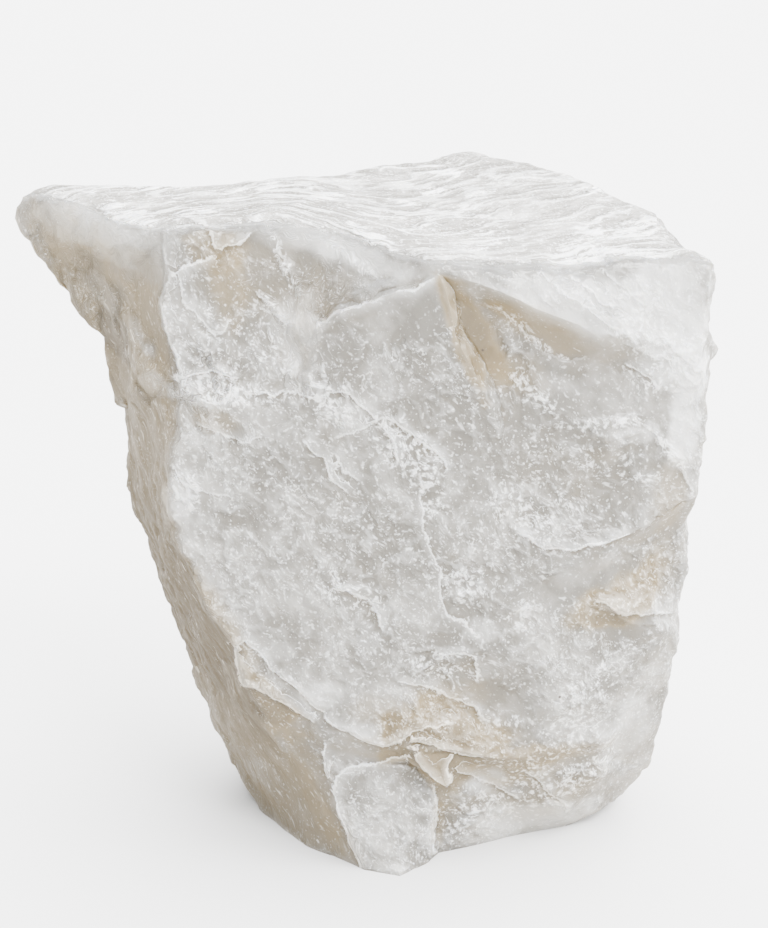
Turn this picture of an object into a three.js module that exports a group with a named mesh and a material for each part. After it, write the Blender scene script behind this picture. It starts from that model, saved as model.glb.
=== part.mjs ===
// A hand-size lump of massive milky quartz, broken on every side and standing on a flat fracture.
// Millimetres, +Z up, the broken front facing -Y.
import * as THREE from 'three';
import { SimplexNoise } from 'three/addons/math/SimplexNoise.js';

// ---- Driving dimensions -------------------------------------------------------------------------
const edgeLength = 3.05;       // usual length of a triangle's side on the fractures
const ridgeWobble = 0.45;      // how far the broken ridges wander from straight
const wobbleLength = 11;       // length of one such wander
const grainHeight = 0.22;      // shallow unevenness of the fractures
const grainLength = 4.5;
const footFade = 5;            // height over which both die out above the resting face
const relaxRounds = 12;

// Corners of the stone: [across, height, depth behind the foremost point].
const corners = {
  // top rim, front side, left to right
  hornTip: [-55.5, 99, 33],
  hornRim: [-42, 99, 24],
  rimNotch: [-37.5, 97, 17.5],
  rimLeft: [-33, 99, 14],
  rimFlake: [-25.5, 99, 14],
  rimChip: [-19.5, 99.5, 14],
  rimScar: [-7, 99.5, 11],
  rimDip: [-0.5, 98, 5],
  rimMiddle: [8, 97, 0.5],
  rimRight: [25, 96, 6],
  rimShoulder: [39, 96, 7.5],
  topRight: [47, 96.5, 8],
  // top, from the right-hand end back to the horn, and the fold across it
  backStep: [42.5, 96.5, 14],
  backNotch: [41.5, 98.5, 22.5],
  backRight: [36, 98.5, 33],
  backCorner: [27.5, 98.5, 50],
  backPeak: [13, 98.5, 61],
  backSlope: [2.5, 99, 51],
  backBend: [-11.5, 99, 42.5],
  backHorn: [-28, 99.5, 36.5],
  hornBack: [-52.5, 99.5, 37.5],
  foldFront: [-12.5, 100, 22],
  foldBack: [-5, 99.5, 33.5],
  // left outline, from the horn down
  hornNose: [-56.5, 94.5, 34],
  hornKnee: [-54.5, 91, 32],
  hornElbow: [-50, 86.5, 30],
  hornJaw: [-47, 81, 28],
  hornChin: [-43, 77.5, 27],
  hornHeel: [-41.5, 67.5, 26],
  flankTop: [-39.5, 66, 27],
  flankMid: [-40, 50.5, 31],
  flankBend: [-36, 35.5, 34],
  flankKnee: [-32, 22, 37],
  flankLow: [-28, 8, 34.5],
  flankFoot: [-20, 0, 22],
  // under the horn and on the left-hand face
  hornBrow: [-46.5, 91, 26.5],
  neckBrow: [-39, 91.5, 20],
  neckFold: [-38, 81, 19.5],
  cheekTop: [-36.5, 76.5, 15],
  cheekFoot: [-37.5, 70.5, 18],
  strakeMid: [-15, 14, 9],
  // ridge between the front and the left-hand face
  ridgeNeck: [-32, 93, 13.5],
  ridgeTop: [-33, 87.5, 12.5],
  ridgeBlock: [-30.5, 79, 10.5],
  ridgeLedge: [-30, 74, 9.5],
  ridgeWaist: [-32, 65, 8.5],
  ridgeBelly: [-32.5, 56.5, 7.5],
  ridgeHip: [-31.5, 51.5, 7],
  ridgeThigh: [-26.5, 42.5, 6],
  flakeTop: [-22, 35, 5],
  flakeFoot: [-21, 29.5, 4.5],
  flakeHeel: [-14, 27, 3],
  lipLeft: [-10.5, 25.5, 2],
  blockShoulder: [-10, 20, 3.5],
  blockKnee: [-8, 13.5, 3.5],
  blockHip: [-6.5, 7, 2.5],
  blockFoot: [-3.5, 2, 2],
  // three-sided facet that stands proud of the upper front
  apex: [8, 95.5, 0.5],
  apexLeft: [2.5, 93, 1.5],
  wingLeft: [-5, 90, 3.5],
  wingTip: [-10, 86.5, 5.5],
  bevelInner: [2.5, 93.5, 3],
  bevelOuter: [-5, 90.5, 5],
  wallTop: [9, 91.5, 0.5],
  wallUpper: [10, 87.5, 0.5],
  wallMiddle: [12.5, 81.5, 1],
  wallLower: [15.5, 74.5, 1.5],
  wallFoot: [18, 66.5, 3],
  crestLeft: [0, 73, 2],
  crestRight: [8, 67.5, 1.5],
  // low ledge that runs in from the left-hand ridge
  foamTopLeft: [-22, 76.5, 8.5],
  foamTop: [-13.5, 76.5, 6.5],
  foamTopRight: [-8, 79.5, 5],
  foamFootLeft: [-24.5, 72.5, 7],
  foamFoot: [-15, 72.5, 4.5],
  foamFootRight: [-5.5, 74, 3],
  // hollow beside the three-sided facet, and the brow that hangs over it
  hollowTop: [10.5, 90, 4],
  hollowUpper: [12, 85.5, 5],
  hollowMiddle: [15, 80.5, 5],
  hollowLower: [17.5, 73.5, 4.5],
  browLeft: [13.5, 93, 1.5],
  browMiddle: [19.5, 91, 2],
  browBend: [25, 88.5, 2.5],
  browRight: [31, 85, 3],
  browEnd: [37.5, 82, 4.5],
  browEdge: [45.5, 76.5, 7.5],
  creaseLeft: [15.5, 88.5, 5.5],
  creaseMiddle: [19.5, 84.5, 6],
  creaseBend: [23.5, 82, 6],
  creaseRight: [30, 80.5, 5.5],
  creaseEnd: [37, 79, 5.5],
  // crest and bowl on the right, and the recess and flap below them
  crestA: [22.5, 75.5, 4.5],
  crestB: [26, 73, 4],
  crestC: [31.5, 69, 3.5],
  crestD: [37.5, 70, 4],
  crestE: [41.5, 67, 5.5],
  crestNose: [46.5, 58.5, 8],
  bowlLeft: [20, 62.5, 4],
  lipA: [20.5, 54.5, 2.5],
  lipB: [27, 52.5, 2.5],
  lipC: [32, 53, 3],
  lipD: [38.5, 55, 5.5],
  recessLeft: [34, 47.5, 5.5],
  flapLeft: [32, 44, 4.5],
  flapMiddle: [40, 41.5, 6.5],
  flapLowLeft: [30, 43, 4.5],
  flapLow: [36.5, 40, 5],
  flapLowRight: [40.5, 37, 7.5],
  underLeft: [34.5, 37, 6.5],
  underRight: [40.5, 33, 9],
  // right outline, from the top down
  sideEdge: [46.5, 88, 8],
  edgeHigh: [48, 90, 10],
  edgeDent: [47, 84.5, 10],
  edgeBump: [49, 80, 13],
  edgeBrow: [47, 75, 9],
  edgeMiddle: [47, 65, 9],
  edgeDip: [44.5, 51, 12],
  edgeKnob: [46, 46, 12],
  edgeFlap: [44.5, 37, 12],
  edgeFlapLow: [44.5, 34, 12.5],
  edgeUnder: [44, 30, 14],
  edgeLow: [43.5, 19.5, 17],
  edgeHeel: [42, 8, 22],
  edgeFoot: [38, 2.5, 22],
  // middle step, lower-left flake and the scoop above the lip
  stepUpper: [6, 60.5, 1],
  stepMiddle: [6, 51.5, 1],
  stepLower: [8.5, 44.5, 1],
  stepFoot: [13.5, 40.5, 2],
  patchEdge: [26, 42.5, 3.5],
  flakeInner: [-18.5, 35, 3.5],
  flakeRidge: [-14.5, 31.5, 2.5],
  flakeRidgeEnd: [-10, 28, 1.5],
  scoopLeft: [2.5, 31, 1.5],
  scoopTop: [9.5, 35.5, 1.5],
  scoopTopRight: [18, 35.5, 2],
  scoopRight: [24.5, 29.5, 3],
  scoopFoot: [20.5, 21.5, 4],
  scoopCreaseLeft: [8.5, 28, 3],
  scoopCrease: [14.5, 24, 4],
  // lip across the foot of the front, its wedge and the eave under it
  lipFlake: [-5, 23, 1],
  lipPoint: [0.5, 21.5, 0.5],
  lipMiddle: [4, 21.5, 0.5],
  lipWedge: [10.5, 20.5, 1.5],
  lipBend: [14.5, 19, 2],
  lipRight: [23.5, 18, 4],
  lipEnd: [33, 18, 8],
  wedgeTip: [5.5, 17.5, 1],
  wedgeFoot: [9.5, 14, 2],
  eaveLeft: [-3.5, 18, 3.5],
  eaveMiddle: [4.5, 16.5, 4],
  eaveRight: [11, 14, 5.5],
  eaveBend: [16, 13.5, 6.5],
  eaveFar: [23, 14, 7],
  eaveEnd: [33, 11.5, 11],
  crackTop: [8, 11, 5.5],
  blockCheek: [6.5, 10, 3.5],
  footRidge: [27.5, 5, 11],
  // outline of the resting face, anticlockwise from above, with two corners that clear it
  heelLeft: [-12, 0, 9],
  baseLeft: [-6.5, 0, 5],
  baseCorner: [-3, 0, 1.5],
  baseTip: [2.5, 0, -0.5],
  baseRight: [7, 0, 4],
  crackFoot: [8.5, 0, 7],
  baseMiddle: [15, 0, 10],
  baseStep: [20.5, 0, 13],
  baseRidge: [29.5, 0, 16.5],
  baseFar: [34, 2.5, 16.5],
  sideFoot: [37, 0, 31],
  backRidgeFoot: [28, 0, 46],
  spineFoot: [8, 0, 52],
  backLeftFoot: [-17, 0, 40],
  // right-hand side
  sideHigh: [45, 70, 27],
  sideMid: [46.5, 48, 26],
  sideLow: [43, 19, 33],
  dentTop: [43, 48, 45],
  dentFront: [45.5, 33, 36],
  dentFoot: [41, 21, 43],
  // back, with the ledge and the dish in it
  backRidgeHigh: [33, 74, 56],
  backRidgeMid: [37, 44, 54],
  backRidgeLow: [33, 13, 52],
  backRib: [25, 53, 63],
  spineHigh: [9, 81, 65],
  spineMid: [15, 63, 68],
  spineKink: [10, 41, 67.5],
  spineLow: [13.5, 21, 62],
  ribHigh: [-15, 82, 47],
  ledgeInner: [0, 60, 62],
  ledgeOuter: [-16, 63, 53],
  shelfInner: [0, 56.5, 65],
  shelfOuter: [-17, 59, 56.5],
  dishTop: [0, 41, 64.5],
  dishLeft: [-10, 30, 60],
  dishFoot: [0, 18, 60.5],
  hornRoot: [-38, 82, 42],
  backLeftMid: [-35.5, 59, 45],
  backLeftLow: [-29.5, 25, 47.5],
};

// Fracture faces: how far each swells (or, below 0, dishes), then its corners, anticlockwise from outside.
const fractures = {
  top: [0.4, `foldFront rimChip rimScar rimDip rimMiddle rimRight rimShoulder backStep backNotch
    backRight backCorner backPeak backSlope foldBack`],
  topHorn: [-0.4, `hornTip hornRim rimNotch rimLeft rimFlake rimChip foldFront foldBack backSlope backBend
    backHorn hornBack`],
  topShoulder: [0.2, 'rimShoulder topRight backStep'],
  upperField: [-0.8, `ridgeBlock foamTopLeft foamTop foamTopRight wingTip bevelOuter bevelInner apex
    rimMiddle rimDip rimScar rimChip rimFlake rimLeft ridgeNeck ridgeTop`],
  wingBevel: [0, 'wingTip wingLeft apexLeft apex bevelInner bevelOuter'],
  wing: [0.3, `wingTip foamTopRight foamFootRight crestLeft crestRight wallFoot wallLower wallMiddle
    wallUpper wallTop apex apexLeft wingLeft`],
  foamLedge: [0.2, `ridgeLedge foamFootLeft foamFoot foamFootRight foamTopRight foamTop foamTopLeft
    ridgeBlock`],
  plate: [0.8, `ridgeLedge ridgeWaist ridgeBelly ridgeHip ridgeThigh flakeTop flakeInner flakeRidge
    flakeRidgeEnd lipLeft lipFlake lipPoint lipMiddle scoopLeft scoopTop stepFoot stepLower stepMiddle
    stepUpper crestRight crestLeft foamFootRight foamFoot foamFootLeft`],
  flake: [0.2, 'flakeTop flakeFoot flakeHeel lipLeft flakeRidgeEnd flakeRidge flakeInner'],
  rise: [0.8, 'lipMiddle lipWedge lipBend scoopFoot scoopCrease scoopCreaseLeft scoopLeft'],
  scoop: [-0.8, `scoopLeft scoopCreaseLeft scoopCrease scoopFoot scoopRight scoopTopRight scoopTop`],
  hollowWall: [0, `apex wallTop wallUpper wallMiddle wallLower wallFoot hollowLower hollowMiddle
    hollowUpper hollowTop`],
  browUnder: [-0.4, `apex hollowTop creaseLeft creaseMiddle creaseBend creaseRight creaseEnd browEnd
    browRight browBend browMiddle browLeft`],
  browBlock: [0.6, `apex browLeft browMiddle browBend browRight browEnd browEdge sideEdge topRight
    rimShoulder rimRight rimMiddle`],
  hollowFloor: [-0.6, `hollowTop hollowUpper hollowMiddle hollowLower wallFoot bowlLeft crestA creaseBend
    creaseMiddle creaseLeft`],
  rightSlope: [0.3, `crestA crestB crestC crestD crestE crestNose edgeMiddle edgeBrow browEdge browEnd
    creaseEnd creaseRight creaseBend`],
  bowl: [-1.4, 'bowlLeft lipA lipB lipC lipD crestNose crestE crestD crestC crestB crestA'],
  middleField: [0.3, `crestRight stepUpper stepMiddle stepLower stepFoot patchEdge flapLowLeft flapLeft
    recessLeft lipC lipB lipA bowlLeft wallFoot`],
  recess: [-2, 'recessLeft flapLeft flapMiddle edgeFlap edgeKnob edgeDip crestNose lipD lipC'],
  flap: [0.2, 'flapLowLeft flapLow flapLowRight edgeFlapLow edgeFlap flapMiddle flapLeft'],
  flapUnder: [-0.3, 'flapLowLeft underLeft underRight edgeUnder edgeFlapLow flapLowRight flapLow'],
  lowerField: [1, `stepFoot scoopTop scoopTopRight scoopRight scoopFoot lipBend lipRight lipEnd edgeHeel
    edgeLow edgeUnder underRight underLeft flapLowLeft patchEdge`],
  wedge: [0.2, 'lipMiddle wedgeTip wedgeFoot lipWedge'],
  eave: [-0.2, 'lipLeft blockShoulder eaveLeft eaveMiddle wedgeTip lipMiddle lipPoint lipFlake'],
  wedgeUnder: [0, 'wedgeTip eaveMiddle crackTop eaveRight wedgeFoot'],
  eaveFar: [-0.3, `wedgeFoot eaveRight eaveBend eaveFar eaveEnd edgeHeel lipEnd lipRight lipBend
    lipWedge`],
  block: [0.5, `blockShoulder blockKnee blockHip blockFoot baseCorner baseTip baseRight blockCheek
    eaveMiddle eaveLeft`],
  blockSide: [0, 'baseRight crackFoot crackTop eaveMiddle blockCheek'],
  middleFoot: [0.4, 'crackFoot baseMiddle baseStep eaveBend eaveRight crackTop'],
  rightFoot: [0.3, 'baseStep baseRidge footRidge eaveFar eaveBend'],
  farFoot: [0.3, 'baseRidge baseFar edgeFoot edgeHeel eaveEnd eaveFar footRidge'],
  heelUnder: [0, 'baseRidge sideFoot edgeFoot baseFar'],
  hornFront: [0.6, 'hornNose hornKnee hornBrow neckBrow ridgeNeck rimLeft rimNotch hornRim hornTip'],
  hornUnder: [-0.5, 'hornKnee hornElbow hornJaw hornChin neckFold neckBrow hornBrow'],
  neck: [-0.8, 'neckBrow neckFold cheekTop ridgeBlock ridgeTop ridgeNeck'],
  throat: [-0.8, 'hornChin hornHeel flankTop cheekFoot cheekTop neckFold'],
  cheek: [0.4, 'cheekTop cheekFoot ridgeLedge ridgeBlock'],
  strip: [0.4, 'flankTop flankMid flankBend ridgeHip ridgeBelly ridgeWaist ridgeLedge cheekFoot'],
  lowerFlank: [0.6, `flankBend flankKnee flankLow flankFoot heelLeft baseLeft strakeMid flakeFoot flakeTop
    ridgeThigh ridgeHip`],
  strake: [-0.4, `strakeMid baseLeft baseCorner blockFoot blockHip blockKnee blockShoulder lipLeft
    flakeHeel flakeFoot`],
  sideSliver: [0, 'browEdge edgeBrow edgeBump edgeDent edgeHigh topRight sideEdge'],
  sideUpper: [0.8, `edgeBrow sideHigh backRidgeHigh backCorner backRight backNotch backStep topRight
    edgeHigh edgeDent edgeBump`],
  sideFront: [0.6, `edgeBrow edgeMiddle crestNose edgeDip edgeKnob edgeFlap edgeFlapLow edgeUnder edgeLow
    edgeHeel edgeFoot sideFoot sideLow sideMid sideHigh`],
  sideRear: [0.4, 'sideHigh sideMid dentFront dentTop backRidgeMid backRidgeHigh'],
  dent: [-1.6, 'backRidgeMid dentTop dentFront dentFoot backRidgeLow'],
  sideRearLow: [0.6, 'sideMid sideLow sideFoot backRidgeFoot backRidgeLow dentFoot dentFront'],
  hornBehind: [0.4, `hornNose hornTip hornBack backHorn hornRoot hornChin hornJaw hornElbow hornKnee`],
  flankBehind: [0.5, `hornChin hornRoot backLeftMid backLeftLow backLeftFoot flankFoot flankLow flankKnee
    flankBend flankMid flankTop hornHeel`],
  backUpperLeft: [-1.2, 'backHorn backBend ribHigh ledgeOuter backLeftMid hornRoot'],
  backUpper: [-0.5, 'backBend backSlope backPeak spineHigh spineMid ledgeInner ledgeOuter ribHigh'],
  backShelf: [0, 'backLeftMid ledgeOuter ledgeInner spineMid shelfInner shelfOuter'],
  backMiddle: [0.4, `backLeftMid shelfOuter shelfInner spineMid spineKink dishTop dishLeft
    backLeftLow`],
  backDish: [-2, 'dishLeft dishTop spineKink spineLow dishFoot'],
  backLower: [0.8, 'backLeftLow dishLeft dishFoot spineLow spineFoot backLeftFoot'],
  backRightUpper: [-0.6, `backPeak backCorner backRidgeHigh backRidgeMid backRib spineMid
    spineHigh`],
  backRightLower: [-0.9, `backRib backRidgeMid backRidgeLow backRidgeFoot spineFoot spineLow spineKink
    spineMid`],
  resting: [0, `baseTip baseCorner baseLeft heelLeft flankFoot backLeftFoot spineFoot backRidgeFoot
    sideFoot baseRidge baseStep baseMiddle crackFoot baseRight`],
};

// ---- Ridges: each is divided once and shared by the two fractures that meet there ---------------
const points = [];

function addPoint(point) {
  points.push(point);
  return points.length - 1;
}

const cornerPoint = new Map();
for (const [name, [across, height, depth]] of Object.entries(corners)) {
  cornerPoint.set(name, addPoint(new THREE.Vector3(across, depth, height)));
}

const ridgePoints = new Map();

// Points from one corner up to, and not counting, the next.
function ridgeFrom(startName, endName) {
  const start = cornerPoint.get(startName);
  const end = cornerPoint.get(endName);
  if (ridgePoints.has(`${end}-${start}`)) {
    const [last, ...between] = ridgePoints.get(`${end}-${start}`);
    return [start, ...between.reverse()];
  }
  const pieces = Math.max(1, Math.round(points[start].distanceTo(points[end]) / edgeLength));
  const ridge = [start];
  for (let piece = 1; piece < pieces; piece += 1) {
    ridge.push(addPoint(points[start].clone().lerp(points[end], piece / pieces)));
  }
  ridgePoints.set(`${start}-${end}`, ridge);
  return ridge;
}

// ---- Fractures: a film stretched between the ridges, refined, evened out and then swollen -------
const edgeKey = (a, b) => (a < b ? `${a}-${b}` : `${b}-${a}`);

// Area vector of a closed loop: it points out of a loop that runs anticlockwise.
function loopNormal(loop) {
  const normal = new THREE.Vector3();
  const side = new THREE.Vector3();
  const nextSide = new THREE.Vector3();
  loop.forEach((index, place) => {
    side.subVectors(points[index], points[loop[0]]);
    nextSide.subVectors(points[loop[(place + 1) % loop.length]], points[loop[0]]);
    normal.add(side.cross(nextSide));
  });
  return normal.normalize();
}

function triangulateLoop(loop) {
  const toFlat = new THREE.Quaternion().setFromUnitVectors(loopNormal(loop), new THREE.Vector3(0, 0, 1));
  const contour = loop.map((index) => {
    const flat = points[index].clone().applyQuaternion(toFlat);
    return new THREE.Vector2(flat.x, flat.y);
  });
  return THREE.ShapeUtils.triangulateShape(contour, []).map((triangle) => triangle.map((place) => loop[place]));
}

// Every side of the film with the triangles on it and the corner opposite it in each.
function edgesOf(triangles) {
  const edges = new Map();
  triangles.forEach((triangle, place) => {
    triangle.forEach((a, side) => {
      const b = triangle[(side + 1) % 3];
      const opposite = triangle[(side + 2) % 3];
      const key = edgeKey(a, b);
      if (!edges.has(key)) edges.set(key, { a, b, triangles: [], opposites: [] });
      edges.get(key).triangles.push(place);
      edges.get(key).opposites.push(opposite);
    });
  });
  return edges;
}

function splitLongEdges(triangles, longest) {
  const edges = [...edgesOf(triangles).values()].filter((edge) => edge.triangles.length === 2);
  const lengthOf = (edge) => points[edge.a].distanceTo(points[edge.b]);
  edges.sort((one, other) => lengthOf(other) - lengthOf(one));
  const touched = new Set();
  const result = [...triangles];
  let splits = 0;
  for (const edge of edges) {
    if (lengthOf(edge) < longest) break;
    if (edge.triangles.some((place) => touched.has(place))) continue;
    const middle = addPoint(points[edge.a].clone().lerp(points[edge.b], 0.5));
    for (const place of edge.triangles) {
      touched.add(place);
      result[place] = triangles[place].map((corner) => (corner === edge.a ? middle : corner));
      result.push(triangles[place].map((corner) => (corner === edge.b ? middle : corner)));
    }
    splits += 1;
  }
  return { triangles: result, splits };
}

function angleAt(corner, a, b) {
  const toA = points[a].clone().sub(points[corner]);
  const toB = points[b].clone().sub(points[corner]);
  return toA.angleTo(toB);
}

// Turns a side to the other diagonal of its two triangles where that makes them less thin.
function flipThinEdges(triangles) {
  const edges = edgesOf(triangles);
  const touched = new Set();
  const result = [...triangles];
  for (const edge of edges.values()) {
    if (edge.triangles.length !== 2) continue;
    if (edge.triangles.some((place) => touched.has(place))) continue;
    const [left, right] = edge.opposites;
    if (edges.has(edgeKey(left, right))) continue;
    if (angleAt(left, edge.a, edge.b) + angleAt(right, edge.a, edge.b) < Math.PI * 1.02) continue;
    const [first, second] = edge.triangles;
    const before = loopNormal(triangles[first]).add(loopNormal(triangles[second]));
    const newFirst = triangles[first].map((corner) => (corner === edge.a ? right : corner));
    const newSecond = triangles[second].map((corner) => (corner === edge.b ? left : corner));
    if (loopNormal(newFirst).dot(before) < 0.2 || loopNormal(newSecond).dot(before) < 0.2) continue;
    result[first] = newFirst;
    result[second] = newSecond;
    edge.triangles.forEach((place) => touched.add(place));
    edges.set(edgeKey(left, right), { a: left, b: right, triangles: [], opposites: [] });
  }
  return result;
}

function neighboursOf(triangles) {
  const neighbours = new Map();
  for (const triangle of triangles) {
    for (const corner of triangle) {
      if (!neighbours.has(corner)) neighbours.set(corner, new Set());
      triangle.forEach((other) => other !== corner && neighbours.get(corner).add(other));
    }
  }
  return neighbours;
}

function relax(triangles, fixed, rounds) {
  const neighbours = neighboursOf(triangles);
  for (let round = 0; round < rounds; round += 1) {
    for (const [index, around] of neighbours) {
      if (fixed.has(index)) continue;
      const mean = new THREE.Vector3();
      around.forEach((other) => mean.add(points[other]));
      points[index].copy(mean.divideScalar(around.size));
    }
  }
}

// Pushes the inside of a film out along its normal: nothing at its ridges, the full height at its middle.
function swell(triangles, fixed, normal, height) {
  const neighbours = neighboursOf(triangles);
  const lift = new Map([...neighbours.keys()].map((index) => [index, 0]));
  const rounds = 60;
  for (let round = 0; round < rounds; round += 1) {
    for (const [index, around] of neighbours) {
      if (fixed.has(index)) continue;
      let total = 0;
      around.forEach((other) => { total += lift.get(other); });
      lift.set(index, total / around.size + 1);
    }
  }
  const highest = Math.max(1, ...lift.values());
  for (const [index, amount] of lift) points[index].addScaledVector(normal, (height * amount) / highest);
}

function fillFracture([swelling, names]) {
  const around = names.split(/\s+/);
  const loop = around.flatMap((name, place) => ridgeFrom(name, around[(place + 1) % around.length]));
  const fixed = new Set(loop);
  const longest = edgeLength * 1.35;
  let film = triangulateLoop(loop);
  for (let splits = 1; splits > 0;) {
    ({ triangles: film, splits } = splitLongEdges(film, longest));
    film = flipThinEdges(flipThinEdges(film));
    relax(film, fixed, relaxRounds);
  }
  for (let pass = 0; pass < 4; pass += 1) {
    film = flipThinEdges(film);
    relax(film, fixed, relaxRounds);
  }
  swell(film, fixed, loopNormal(loop), swelling);
  return film;
}

const triangles = Object.values(fractures).flatMap(fillFracture);

// ---- Broken unevenness, fading out at the resting face so that this stays flat ------------------
function seededRandom(seed) {
  let state = seed;
  return () => {
    state = (state * 16807) % 2147483647;
    return state / 2147483647;
  };
}

const noise = new SimplexNoise({ random: seededRandom(1860) });

function wander(point, length, offset) {
  const { x, y, z } = point.clone().divideScalar(length).addScalar(offset);
  return new THREE.Vector3(noise.noise3d(x, y, z), noise.noise3d(y, z, x + 31), noise.noise3d(z, x, y + 57));
}

for (const point of points) {
  const fade = THREE.MathUtils.smoothstep(point.z, 0, footFade);
  const shift = wander(point, wobbleLength, 3).multiplyScalar(ridgeWobble);
  shift.addScaledVector(wander(point, grainLength, 11), grainHeight);
  point.addScaledVector(shift, fade);
}

// ---- One closed mesh, centred over the middle of its box ----------------------------------------
const middle = new THREE.Box3().setFromPoints(points).getCenter(new THREE.Vector3());
const geometry = new THREE.BufferGeometry();
const positions = points.flatMap(({ x, y, z }) => [x - middle.x, y - middle.y, z]);
geometry.setAttribute('position', new THREE.Float32BufferAttribute(positions, 3));
geometry.setIndex(triangles.flat());
geometry.computeVertexNormals();

const milkyQuartz = new THREE.MeshStandardMaterial({ color: 0xd8d4cc, roughness: 0.45, metalness: 0 });
const block = new THREE.Mesh(geometry, milkyQuartz);
block.name = 'quartz_block';

const specimen = new THREE.Group();
specimen.add(block);

export default specimen;
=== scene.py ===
import math

import bmesh
import bpy
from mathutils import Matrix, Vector


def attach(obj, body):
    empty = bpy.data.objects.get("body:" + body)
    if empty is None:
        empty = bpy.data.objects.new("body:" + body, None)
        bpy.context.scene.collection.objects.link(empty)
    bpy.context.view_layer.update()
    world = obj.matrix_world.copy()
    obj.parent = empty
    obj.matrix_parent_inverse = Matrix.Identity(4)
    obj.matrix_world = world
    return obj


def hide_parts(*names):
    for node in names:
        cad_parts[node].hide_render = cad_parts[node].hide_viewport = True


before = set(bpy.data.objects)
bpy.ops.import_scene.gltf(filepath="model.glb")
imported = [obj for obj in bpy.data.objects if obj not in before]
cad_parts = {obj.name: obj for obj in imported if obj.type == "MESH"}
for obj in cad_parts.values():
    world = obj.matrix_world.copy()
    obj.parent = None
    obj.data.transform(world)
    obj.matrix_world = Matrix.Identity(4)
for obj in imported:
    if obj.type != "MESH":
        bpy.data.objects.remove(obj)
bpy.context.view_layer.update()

# ---- Quartz block: its shape ----------------------------------------------------------------------
# One lump of massive milky quartz, broken on every side. Quartz has no cleavage, so it breaks in small
# shelly chips: they cover the fractures, run out in streaks across the flat top and as scores down the
# left-hand face.
MM = 0.001
SAME_PLACE = 0.001 * MM             # corners closer than this are one corner
FLAT_DOWN = -0.999                  # faces whose normals point lower than this are the resting face
CRISP_ANGLE = math.radians(24)      # ridges sharper than this stay crisp when the lump is rounded
CRISP_GAIN = 1.5                    # how fast they get crisper past that angle
SUBDIVISIONS = 2


class Socket:
    """An output in a node tree. Arithmetic on it adds Math nodes."""

    def __init__(self, tree, output):
        self.tree = tree
        self.output = output

    def math(self, operation, *values, clamp=False):
        inputs = dict(enumerate(values))
        return self.tree.node("ShaderNodeMath", inputs, operation=operation, use_clamp=clamp)[0]

    def __add__(self, other):
        return self.math("ADD", self, other)

    def __sub__(self, other):
        return self.math("SUBTRACT", self, other)

    def __mul__(self, other):
        return self.math("MULTIPLY", self, other)

    def __truediv__(self, other):
        return self.math("DIVIDE", self, other)

    def __radd__(self, other):
        return self.math("ADD", other, self)

    def __rsub__(self, other):
        return self.math("SUBTRACT", other, self)

    def __rmul__(self, other):
        return self.math("MULTIPLY", other, self)

    def __neg__(self):
        return self.math("MULTIPLY", self, -1)

    def __abs__(self):
        return self.math("ABSOLUTE", self)

    def larger(self, other):
        return self.math("MAXIMUM", self, other)

    def clamped(self):
        return self.math("ADD", self, 0, clamp=True)

    def rise(self, low, high):
        """0 below low, 1 above high and smooth between them."""
        return self.tree.node(
            "ShaderNodeMapRange", {"Value": self, "From Min": low, "From Max": high},
            interpolation_type="SMOOTHSTEP")["Result"]


class Tree:
    """A node tree that is written as expressions."""

    def __init__(self, tree):
        self.tree = tree

    def node(self, kind, inputs=None, **settings):
        """Adds a node, sets it up, then fills its inputs by name or number. Returns its outputs."""
        made = self.tree.nodes.new(kind)
        for name, value in settings.items():
            setattr(made, name, value)
        for name, value in (inputs or {}).items():
            socket = made.inputs[name]
            if isinstance(value, Socket):
                self.tree.links.new(value.output, socket)
            else:
                socket.default_value = value
        return Outputs(self, made)

    def vector(self, operation, *values, **named):
        inputs = {**dict(enumerate(values)), **named}
        result = 1 if operation in ("DOT_PRODUCT", "LENGTH", "DISTANCE") else 0
        return self.node("ShaderNodeVectorMath", inputs, operation=operation)[result]

    def noise(self, place, size, detail=2.0, output="Fac", kind="FBM", **inputs):
        """Noise whose lumps are about size across, in the units of place."""
        values = {"Vector": place, "Scale": 1 / size, "Detail": detail, **inputs}
        return self.node("ShaderNodeTexNoise", values, noise_type=kind)[output]

    def crags(self, place, size, detail, roughness):
        """Smooth hollows between sharp ridges: about 0.4 in the hollows and 1.5 on the ridges."""
        return self.noise(place, size, detail, kind="RIDGED_MULTIFRACTAL", Roughness=roughness, Offset=1.0,
                          Gain=2.0)

    def stretched(self, place, direction, times):
        """The place squeezed along direction, so that a pattern on it comes out times as long."""
        way = Vector(direction).normalized()
        along = self.vector("DOT_PRODUCT", place, tuple(way))
        back = self.vector("SCALE", tuple(way), Scale=along * (1 / times - 1))
        return self.vector("ADD", place, back)

    def xyz(self, x, y, z):
        return self.node("ShaderNodeCombineXYZ", {0: x, 1: y, 2: z})[0]

    def parts(self, vector):
        """The x, y and z of a vector."""
        split = self.node("ShaderNodeSeparateXYZ", {0: vector})
        return split[0], split[1], split[2]


class Outputs:
    """The outputs of one node, by name or number."""

    def __init__(self, tree, made):
        self.tree = tree
        self.made = made

    def __getitem__(self, key):
        return Socket(self.tree, self.made.outputs[key])


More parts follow.
